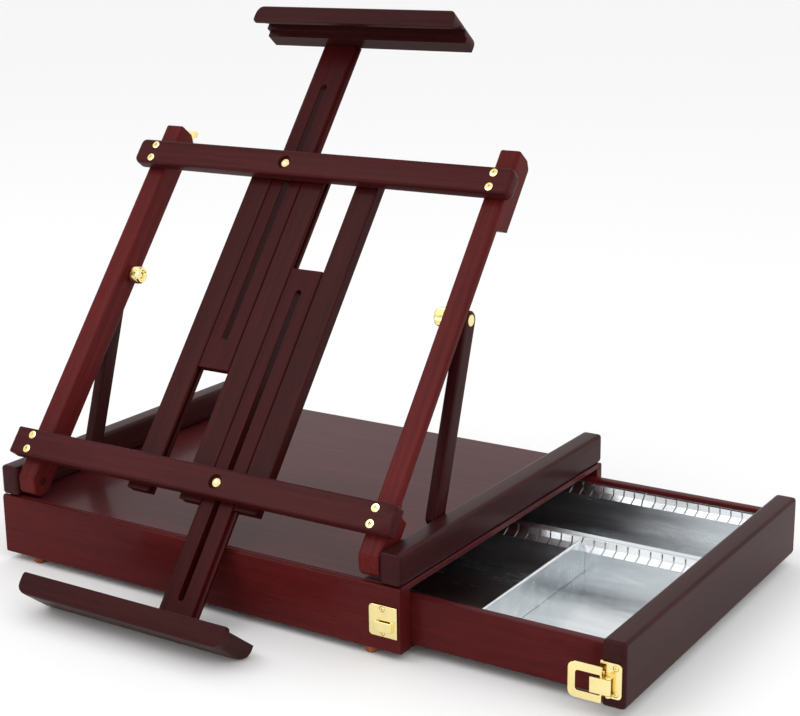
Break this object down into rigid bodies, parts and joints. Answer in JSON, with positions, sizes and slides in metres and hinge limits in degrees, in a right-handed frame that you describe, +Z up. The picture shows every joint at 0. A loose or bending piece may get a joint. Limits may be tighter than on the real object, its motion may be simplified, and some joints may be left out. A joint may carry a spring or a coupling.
{
  "type": "table easel",
  "caption": "Wooden table easel with a tilting, folding frame on a flat box, sliding canvas holders and a metal-lined drawer closed by a brass latch.",
  "frame": {"origin": "middle of the box's underside, on the bottom panel's lower face", "axes": "+X to the right, the way the drawer opens, +Y to the back, away from the artist, +Z up"},
  "size_m": [0.5793, 0.421, 0.4537],
  "materials": {
    "mahogany": "satin varnish over a deep red-brown stain",
    "plywood": "stained and thinly varnished",
    "foot": "plain",
    "brass": "bright plated",
    "tinplate": "bright sheet"
  },
  "bodies": {
    "box": {"front_wall": "mahogany", "back_wall": "mahogany", "left_wall": "mahogany", "top_panel": "plywood", "bottom_panel": "plywood", "left_rail": "mahogany", "right_rail": "mahogany", "foot_front_left": "foot", "foot_front_right": "foot", "foot_back_left": "foot", "foot_back_right": "foot", "keeper_plate": "brass", "keeper_screw_lower": "brass", "keeper_screw_upper": "brass", "left_arm_pin": "mahogany", "right_arm_pin": "mahogany"},
    "frame": {"left_arm": "mahogany", "right_arm": "mahogany", "top_crossbar": "mahogany", "bottom_crossbar": "mahogany", "top_screw_left_lower": "brass", "top_screw_left_upper": "brass", "top_screw_right_lower": "brass", "top_screw_right_upper": "brass", "bottom_screw_left_lower": "brass", "bottom_screw_left_upper": "brass", "bottom_screw_right_lower": "brass", "bottom_screw_right_upper": "brass", "upper_clamp_bolt": "brass", "lower_clamp_bolt": "brass", "mast_bar_left": "mahogany", "mast_bar_centre": "mahogany", "mast_bar_right": "mahogany", "left_strut_bolt": "brass", "right_strut_bolt": "brass", "arm_catch": "brass"},
    "upper_holder": {"upper_slider": "mahogany", "top_holder": "mahogany"},
    "lower_holder": {"lower_slider": "mahogany", "bottom_tray": "mahogany"},
    "strut_left": {"left_strut": "mahogany"},
    "strut_right": {"right_strut": "mahogany"},
    "nut_left": {"left_thumb_nut": "brass"},
    "nut_right": {"right_thumb_nut": "brass"},
    "nut_upper": {"upper_clamp_nut": "brass"},
    "nut_lower": {"lower_clamp_nut": "brass"},
    "drawer": {"drawer_panel": "mahogany", "drawer_front_side": "mahogany", "drawer_back_side": "mahogany", "drawer_inner_end": "mahogany", "drawer_bottom": "plywood", "drawer_liner": "tinplate", "latch_base": "brass", "latch_screw_lower": "brass", "latch_screw_upper": "brass", "latch_pin": "brass"},
    "divider": {"drawer_divider": "tinplate"},
    "lever": {"latch_lever": "brass"},
    "bail": {"latch_bail": "brass"}
  },
  "joints": [
    {"name": "frame_tilt", "type": "hinge", "parent": "box", "child": "frame", "pos_m": [0, -0.1557, 0.06625], "axis": [1, 0, 0], "range_deg": [-51.5, 3]},
    {"name": "strut_left_fold", "type": "hinge", "parent": "frame", "child": "strut_left", "pos_m": [0, -0.03164, 0.22122], "axis": [1, 0, 0], "range_deg": [-21, 2]},
    {"name": "strut_right_fold", "type": "hinge", "parent": "frame", "child": "strut_right", "pos_m": [0, -0.03164, 0.22122], "axis": [1, 0, 0], "range_deg": [-21, 2]},
    {"name": "upper_slide", "type": "slide", "parent": "frame", "child": "upper_holder", "axis": [0, 0.617, 0.7869], "range_m": [-0.08, 0.158]},
    {"name": "lower_slide", "type": "slide", "parent": "frame", "child": "lower_holder", "axis": [0, 0.617, 0.7869], "range_m": [-0.17, 0.088]},
    {"name": "drawer_slide", "type": "slide", "parent": "box", "child": "drawer", "axis": [1, 0, 0], "range_m": [-0.161, 0.14]},
    {"name": "divider_lift", "type": "slide", "parent": "drawer", "child": "divider", "axis": [0, 0, 1], "range_m": [0, 0.009]},
    {"name": "lever_swing", "type": "hinge", "parent": "drawer", "child": "lever", "pos_m": [0.3693, -0.1728, 0.0205], "axis": [0, 0, 1], "range_deg": [0, 150]},
    {"name": "bail_swing", "type": "hinge", "parent": "lever", "child": "bail", "pos_m": [0.3637, -0.1728, 0.0205], "axis": [0, 0, 1], "range_deg": [-151, 1]},
    {"name": "thumb_nut_left_spin", "type": "hinge", "parent": "frame", "child": "nut_left", "pos_m": [-0.1568, -0.03164, 0.22122], "axis": [1, 0, 0], "continuous": true},
    {"name": "thumb_nut_right_spin", "type": "hinge", "parent": "frame", "child": "nut_right", "pos_m": [0.1568, -0.03164, 0.22122], "axis": [1, 0, 0], "continuous": true},
    {"name": "upper_clamp_spin", "type": "hinge", "parent": "frame", "child": "nut_upper", "pos_m": [-0.028, 0.0347, 0.3081], "axis": [0, -0.7869, 0.617], "continuous": true},
    {"name": "lower_clamp_spin", "type": "hinge", "parent": "frame", "child": "nut_lower", "pos_m": [0.026, -0.1398, 0.08555], "axis": [0, -0.7869, 0.617], "continuous": true}
  ],
  "couplings": [
    {"joint": "strut_left_fold", "follows": "frame_tilt", "ratio": 0.39},
    {"joint": "strut_right_fold", "follows": "frame_tilt", "ratio": 0.39},
    {"joint": "bail_swing", "follows": "lever_swing", "ratio": -1}
  ]
}
